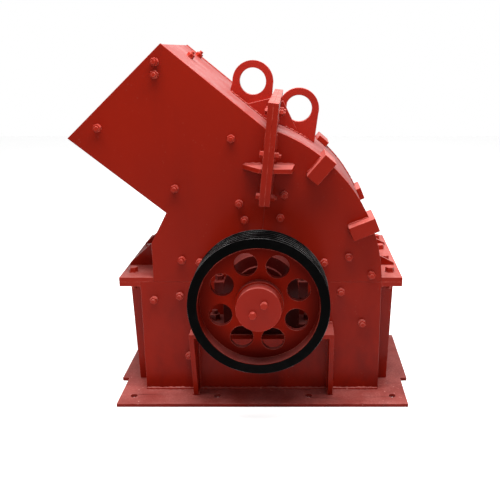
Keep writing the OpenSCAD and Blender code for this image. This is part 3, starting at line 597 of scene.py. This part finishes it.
def makeLinerBolts():
    rng = random.Random(5)
    for name, direction in (("linerBoltsFront", front), ("linerBoltsBack", back)):
        boltRow(name, [
            (nutTemplate, Vector((x, direction.y * outerY, z)), direction,
             linerBolts["across"], anyTurn(rng))
            for x, z in linerBolts["spots"]])


# outer face of the chute top: through its highest corner, falling towards the split
chuteSlope = {"cornerX": -0.290, "cornerZ": 1.126, "fall": 0.8127, "set": 0.0039}


def chutePoint(x, y, lift=0.0):
    top = chuteSlope["cornerZ"] - chuteSlope["set"]
    return Vector((x, y, top - (x - chuteSlope["cornerX"]) * chuteSlope["fall"] + lift))


# two bolts through the chute top, behind the mouth: row and turn of each
chuteBolts = {"across": 0.022, "x": -0.243, "rows": ((-0.014, 15.8), (0.2, 80.0))}


def makeChuteBolts():
    leans = Vector((chuteSlope["fall"], 0, 1)).normalized()
    boltRow("chuteBolts", [
        (nutTemplate, chutePoint(chuteBolts["x"], y), leans, chuteBolts["across"], turn)
        for y, turn in chuteBolts["rows"]])


# end flange bolts: head on top, nut below
flangeBolts = {"across": 0.026, "in": 0.034, "rows": (-0.207, -0.07, 0.07, 0.207)}


def makeFlangeBolts():
    rng = random.Random(9)
    across = flangeBolts["across"]
    for side, upperNode, lowerNode in (
            ("Feed", "upper_flange_feed", "lower_flange_feed"),
            ("Cover", "upper_flange_cover", "lower_flange_cover")):
        upper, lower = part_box(upperNode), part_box(lowerNode)
        x = upper[0][0] + flangeBolts["in"]
        if side == "Cover":
            x = upper[1][0] - flangeBolts["in"]
        spots = []
        for y in flangeBolts["rows"]:
            spots.append((headTemplate, Vector((x, y, upper[1][2])), up, across, anyTurn(rng)))
            spots.append((nutTemplate, Vector((x, y, lower[0][2])), down, across, anyTurn(rng)))
        boltRow("flangeBolts" + side, spots)


# split flanges: the joint leans towards the cover
split = {"x": -0.015, "lean": 5.9, "thick": 0.016, "across": 0.019,
         "sideRows": (0.805, 0.678), "sideOut": 0.056, "topRow": 0.921,
         "topPlaces": (-0.205, -0.11, 0.11, 0.205)}
splitLean = math.radians(split["lean"])
leanVector = Vector((math.sin(splitLean), 0, math.cos(splitLean)))
splitNormal = Vector((leanVector.z, 0, -leanVector.x))      # towards the cover


def splitPoint(z, y):
    return Vector((split["x"], y, axisZ)) + leanVector * ((z - axisZ) / leanVector.z)


def makeSplitBolts():
    rng = random.Random(12)
    places = [(z, s * (outerY + split["sideOut"])) for z in split["sideRows"] for s in (-1, 1)]
    places += [(split["topRow"], y) for y in split["topPlaces"]]
    spots = []
    for z, y in places:
        for template, direction in ((headTemplate, -splitNormal), (nutTemplate, splitNormal)):
            spots.append((template, splitPoint(z, y) + direction * split["thick"], direction,
                          split["across"], anyTurn(rng)))
    boltRow("splitBolts", spots)


# bearing housings: foot bolts, cap bolts and the seal covers' screws
bearingBolts = {
    "foot": 0.149, "footAcross": 0.03, "footThick": 0.034, "shelfThick": 0.014,
    "ear": 0.131, "earAcross": 0.024, "earHalf": 0.026, "sealThick": 0.012,
    "screws": 6, "screwCircle": 0.072, "screwAcross": 0.011}


def makeBearingBolts():
    rng = random.Random(21)
    part = bearingBolts
    for name, node, direction in (("bearingBoltsFront", "bearing_front", front),
                                  ("bearingBoltsBack", "bearing_back", back)):
        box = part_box(node)
        shelfZ = box[0][2]
        face, nearCase = box[0][1], box[1][1]
        if direction is back:
            face, nearCase = nearCase, face
        middleY = (face - direction.y * part["sealThick"] + nearCase) / 2
        clamps = (
            (nutTemplate, part["foot"], shelfZ + part["footThick"], up, part["footAcross"]),
            (headTemplate, part["foot"], shelfZ - part["shelfThick"], down, part["footAcross"]),
            (nutTemplate, part["ear"], axisZ + part["earHalf"], up, part["earAcross"]),
            (headTemplate, part["ear"], axisZ - part["earHalf"], down, part["earAcross"]))
        spots = [(template, Vector((s * x, middleY, z)), way, across, anyTurn(rng))
                 for s in (-1, 1) for template, x, z, way, across in clamps]
        for i in range(part["screws"]):
            angle = (i + 0.5) * 2 * pi / part["screws"]
            place = Vector((part["screwCircle"] * math.cos(angle), face,
                            axisZ + part["screwCircle"] * math.sin(angle)))
            spots.append((headTemplate, place, direction, part["screwAcross"], anyTurn(rng)))
        # the near-black cast finish paints shade onto the bearing bolts
        boltRow(name, spots, material="cast")


# two bolts that hold the end disc on the shaft: angle on the circle and turn of each
discBolts = {"across": 0.019, "circle": 0.0225, "angles": ((42, 12), (222, 32))}


def makeDiscBolts():
    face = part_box("pulley_end_disc")[0][1]
    spots = []
    for degrees, turn in discBolts["angles"]:
        angle = math.radians(degrees)
        place = Vector((discBolts["circle"] * math.cos(angle), face,
                        axisZ + discBolts["circle"] * math.sin(angle)))
        spots.append((headTemplate, place, front, discBolts["across"], turn))
    boltRow("endDiscBolts", spots, body="rotor")


makeLinerBolts()
makeChuteBolts()
makeFlangeBolts()
makeSplitBolts()
makeBearingBolts()
makeDiscBolts()
print("stage: bolts ready")


# weld beads: a rod along the corner, drawn into ripples, thinner at its ends
bead = {"step": 0.0042, "sides": 8, "ripple": 0.16, "rippleRate": 1.3, "slow": 0.14,
        "slowRate": 61, "fast": 0.08, "fastRate": 147, "tip": 0.45}
beadRandom = random.Random(3)


def addBead(bm, start, end, radius):
    span = end - start
    cuts = max(3, int(span.length / bead["step"]))
    first = len(bm.verts)
    made = bmesh.ops.create_cone(bm, cap_ends=True, segments=bead["sides"], radius1=radius,
                                 radius2=radius, depth=span.length)
    lengthwise = [e for e in edgesOf(made["verts"])
                  if abs(e.verts[0].co.z - e.verts[1].co.z) > span.length / 2]
    bmesh.ops.subdivide_edges(bm, edges=lengthwise, cuts=cuts, use_grid_fill=True)
    bm.verts.ensure_lookup_table()
    rod = bm.verts[first:]
    phase = beadRandom.uniform(0, 6)
    for v in rod:
        along = v.co.z + span.length / 2
        swell = (1 + bead["ripple"] * math.sin(along / bead["step"] * bead["rippleRate"] + phase)
                 + bead["slow"] * math.sin(along * bead["slowRate"] + phase)
                 + bead["fast"] * math.sin(along * bead["fastRate"] + 2 * phase))
        fromEnd = min(along, span.length - along) / radius
        swell *= min(1.0, bead["tip"] + (1 - bead["tip"]) * fromEnd)
        v.co.x *= swell
        v.co.y *= swell
    where = Matrix.Translation((start + end) / 2) @ turnTo(span.normalized())
    bmesh.ops.transform(bm, matrix=where, verts=rod)


def addPath(bm, points, radius):
    for a, b in zip(points, points[1:]):
        addBead(bm, a, b, radius)


def addCrossBead(bm, x, z, radius):
    # from side plate to side plate
    addBead(bm, Vector((x, -innerY, z)), Vector((x, innerY, z)), radius)


baseWelds = {"radius": 0.0052, "off": 0.0016}


def makeBaseWelds():
    bm = bmesh.new()
    radius, off = baseWelds["radius"], baseWelds["off"]
    z = baseTop + off
    for s in (-1, 1):
        y = s * (outerY + off)
        addBead(bm, Vector((feedX, y, z)), Vector((coverX, y, z)), radius)
    for x in (wallFeed[0][0] - off, wallCover[1][0] + off):
        addCrossBead(bm, x, z, radius)
    finishPiece("baseWelds", bm, "weld", "housing", True)


# ribs under the bearing shelves, the shelves' own corners and the end walls' ribs
ribWelds = {
    "thick": 0.015, "footOut": 0.048, "off": 0.0012, "radius": 0.0038,
    "shelfThick": 0.014, "shelfOff": 0.001, "shelfRadius": 0.0042,
    "endThick": 0.012, "endOff": 0.001, "endDrop": 0.016, "endRadius": 0.0036}


def makeRibWelds():
    bm = bmesh.new()
    part = ribWelds
    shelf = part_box("pedestal_front")
    shelfTop, half = shelf[1][2], shelf[1][0]
    footZ = baseTop + part["off"]
    ribTop = shelfTop - part["shelfThick"]
    edgeZ = shelfTop + part["shelfOff"]
    for s in (-1, 1):
        for face, way in ((-half, -1), (-half + part["thick"], 1),
                          (half - part["thick"], -1), (half, 1)):
            x = face + way * part["off"]
            y = s * (outerY + part["off"])
            addBead(bm, Vector((x, y, baseTop)), Vector((x, y, ribTop)), part["radius"])
            addBead(bm, Vector((x, s * outerY, footZ)),
                    Vector((x, s * (outerY + part["footOut"]), footZ)), part["radius"])
        y = s * (outerY + part["shelfOff"])
        addBead(bm, Vector((-half, y, edgeZ)), Vector((half, y, edgeZ)), part["shelfRadius"])
    ribOuter = -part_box("lower_ribs")[0][1]
    ribFaces = (ribOuter + part["endOff"], ribOuter - part["endThick"] - part["endOff"])
    for s in (-1, 1):
        for y in ribFaces:
            for x in (wallFeed[0][0] - part["endOff"], wallCover[1][0] + part["endOff"]):
                addBead(bm, Vector((x, s * y, baseTop)),
                        Vector((x, s * y, axisZ - part["endDrop"])), part["endRadius"])
    finishPiece("ribWelds", bm, "weld", "housing", True)


flangeWelds = {"thick": 0.015, "off": 0.001, "sideRadius": 0.0036, "wallRadius": 0.004,
               "shellOff": 0.0005}


def makeFlangeWelds():
    bm = bmesh.new()
    off, shellOff = flangeWelds["off"], flangeWelds["shellOff"]
    below = axisZ - flangeWelds["thick"] - off
    above = axisZ + flangeWelds["thick"]
    for s in (-1, 1):
        for x in (feedX - off, coverX + off):
            addBead(bm, Vector((x, s * innerY, below)), Vector((x, s * outerY, below)),
                    flangeWelds["sideRadius"])
    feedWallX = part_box("feed_wall")[0][0]
    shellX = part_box("cover_plate")[1][0]
    for x, z in ((wallFeed[0][0] - off, below), (wallCover[1][0] + off, below),
                 (feedWallX - off, above + off), (shellX + shellOff, above + shellOff)):
        addCrossBead(bm, x, z, flangeWelds["wallRadius"])
    finishPiece("flangeWelds", bm, "weld", "housing", True)


splitWelds = {"low": 0.66, "high": 0.862, "off": 0.001, "radius": 0.0038}


def makeSplitWelds():
    # along both flanges where they meet the side plates
    bm = bmesh.new()
    for s in (-1, 1):
        y = s * (outerY + splitWelds["off"])
        for way in (-1, 1):
            away = splitNormal * way * (split["thick"] + splitWelds["off"])
            addBead(bm, splitPoint(splitWelds["low"], y) + away,
                    splitPoint(splitWelds["high"], y) + away, splitWelds["radius"])
    finishPiece("splitWelds", bm, "weld", "housing", True)


# the cover's curve: radius of the side plates' edge and of the shell plate
cover = {"radius": 0.513, "shell": 0.510}
coverMiddle = Vector((coverX - cover["radius"], 0, axisZ))


def coverPoint(angle, radius, y):
    turn = math.radians(angle)
    return coverMiddle + Vector((radius * math.cos(turn), y, radius * math.sin(turn)))


shellWelds = {"in": 0.001, "off": 0.0005, "radius": 0.003, "start": 3, "sweep": 66,
              "steps": 18, "fromMouth": 0.012, "fromSplit": 0.03}


def makeShellWelds():
    # inner corner between the side plates' edge and the shell plates
    bm = bmesh.new()
    part = shellWelds
    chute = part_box("chute_top")
    low, high = chute[0][0] + part["fromMouth"], chute[1][0] - part["fromSplit"]
    for s in (-1, 1):
        y = s * (innerY - part["in"])
        arc = [coverPoint(part["start"] + i * part["sweep"] / part["steps"],
                          cover["shell"] + part["off"], y) for i in range(part["steps"] + 1)]
        addPath(bm, arc, part["radius"])
        addBead(bm, chutePoint(low, y), chutePoint(high, y), part["radius"])
    finishPiece("shellWelds", bm, "weld", "housing", True)


topWelds = {"off": 0.0005, "radius": 0.0038, "fromFoot": 0.002, "fromFlange": 0.02,
            "coverAngles": (57, 59, 61, 63, 65, 67)}


def makeTopWelds():
    # feet of the lifting eyes and of the upright gussets
    bm = bmesh.new()
    off, radius = topWelds["off"], topWelds["radius"]
    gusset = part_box("top_gussets")
    for node in ("lifting_eye_feed", "lifting_eye_cover"):
        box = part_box(node)
        low, high = box[0][0] + topWelds["fromFoot"], box[1][0] - topWelds["fromFlange"]
        for y in (gusset[0][1] - off, box[1][1] + off):
            if node == "lifting_eye_feed":
                addBead(bm, chutePoint(low, y, off), chutePoint(high, y, off), radius)
            else:
                addPath(bm, [coverPoint(a, cover["shell"] + off, y)
                             for a in topWelds["coverAngles"]], radius)
    finishPiece("topWelds", bm, "weld", "housing", True)


# flat gussets by the split flanges, and the bar ends' edges on the side plates
gussetWelds = {"off": 0.0005, "in": 0.004, "radius": 0.0034}
barEnds = {"angles": (22.2, 49.47), "length": 0.087, "halfWidth": 0.022, "over": 0.016,
           "short": 0.002, "radius": 0.0032}


def makeGussetWelds():
    bm = bmesh.new()
    off, inset = gussetWelds["off"], gussetWelds["in"]
    for node in ("split_gussets_feed", "split_gussets_cover"):
        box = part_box(node)
        for s in (-1, 1):
            y = s * (outerY + off)
            for z in (box[0][2] - off, box[1][2] + off):
                addBead(bm, Vector((box[0][0] + inset, y, z)), Vector((box[1][0] - inset, y, z)),
                        gussetWelds["radius"])
    for angle in barEnds["angles"]:
        turn = math.radians(angle)
        radial = Vector((math.cos(turn), 0, math.sin(turn)))
        across = Vector((-radial.z, 0, radial.x)) * barEnds["halfWidth"]
        inner = coverMiddle + radial * (cover["radius"] + barEnds["over"] - barEnds["length"])
        outer = coverMiddle + radial * (cover["radius"] - barEnds["short"])
        for s in (-1, 1):
            face = Vector((0, s * (outerY + off), 0))
            addPath(bm, [outer + across + face, inner + across + face, inner - across + face,
                         outer - across + face], barEnds["radius"])
    finishPiece("gussetWelds", bm, "weld", "housing", True)


makeBaseWelds()
makeRibWelds()
makeFlangeWelds()
makeSplitWelds()
makeShellWelds()
makeTopWelds()
makeGussetWelds()
print("stage: weld beads ready")

# floor, backdrop and lamps
studio = {"floorSize": 14.0, "floorDrop": 0.0005, "floorTone": 0.8, "floorRoughness": 0.9,
          "floorGlow": 0.8, "worldTone": 0.09, "aim": (0, 0, 0.5)}
lamps = {
    "topLamp": {"place": (0.0, -0.35, 3.1), "size": (2.6, 2.2), "watts": 205.0},
    "frontLamp": {"place": (0.6, -3.4, 2.0), "size": (2.5, 1.8), "watts": 20.0},
    "sideLamp": {"place": (-3.2, -1.0, 1.8), "size": (2.0, 2.0), "watts": 12.0}}


def seenStraight(tree):
    # camera, mirror and glass rays
    path = tree.nodes.new("ShaderNodeLightPath").outputs
    first = calc(tree, "MAXIMUM", path["Is Camera Ray"], path["Is Glossy Ray"])
    return calc(tree, "MAXIMUM", first, path["Is Transmission Ray"])


def whiteLight(tree, strength):
    return putNode(tree, "ShaderNodeBackground", {
        "Color": (1, 1, 1, 1), "Strength": strength}).outputs[0]


def makeWorld():
    world = bpy.data.worlds.new("studioWorld")
    bpy.context.scene.world = world
    world.use_nodes = True
    tree = world.node_tree
    tree.nodes.clear()
    mix = putNode(tree, "ShaderNodeMixShader", {
        0: seenStraight(tree), 1: whiteLight(tree, studio["worldTone"]),
        2: whiteLight(tree, 1.0)})
    putNode(tree, "ShaderNodeOutputWorld", {"Surface": mix.outputs[0]})


def makeFloor():
    bm = bmesh.new()
    bmesh.ops.create_grid(bm, x_segments=1, y_segments=1, size=studio["floorSize"] / 2)
    mesh = bpy.data.meshes.new("studioFloor")
    bm.to_mesh(mesh)
    bm.free()
    floor = bpy.data.objects.new("studioFloor", mesh)
    floor.location = (0, 0, -studio["floorDrop"])
    bpy.context.scene.collection.objects.link(floor)
    mat, tree, shader = startMaterial("studioFloor")
    tone = studio["floorTone"]
    fillInputs(tree, shader, {
        "Base Color": (tone, tone, tone, 1), "Roughness": studio["floorRoughness"],
        "Emission Color": (1, 1, 1, 1),
        "Emission Strength": calc(tree, "MULTIPLY", seenStraight(tree), studio["floorGlow"])})
    mesh.materials.append(mat)


def addLamp(name, place, size, watts):
    lampData = bpy.data.lights.new(name, "AREA")
    lampData.energy = watts
    lampData.shape = "RECTANGLE"
    lampData.size, lampData.size_y = size
    lamp = bpy.data.objects.new(name, lampData)
    lamp.location = place
    toAim = Vector(studio["aim"]) - Vector(place)
    lamp.rotation_euler = toAim.to_track_quat("-Z", "Y").to_euler()
    bpy.context.scene.collection.objects.link(lamp)


makeWorld()
makeFloor()
for name, lamp in lamps.items():
    addLamp(name, lamp["place"], lamp["size"], lamp["watts"])
print("stage: studio ready")
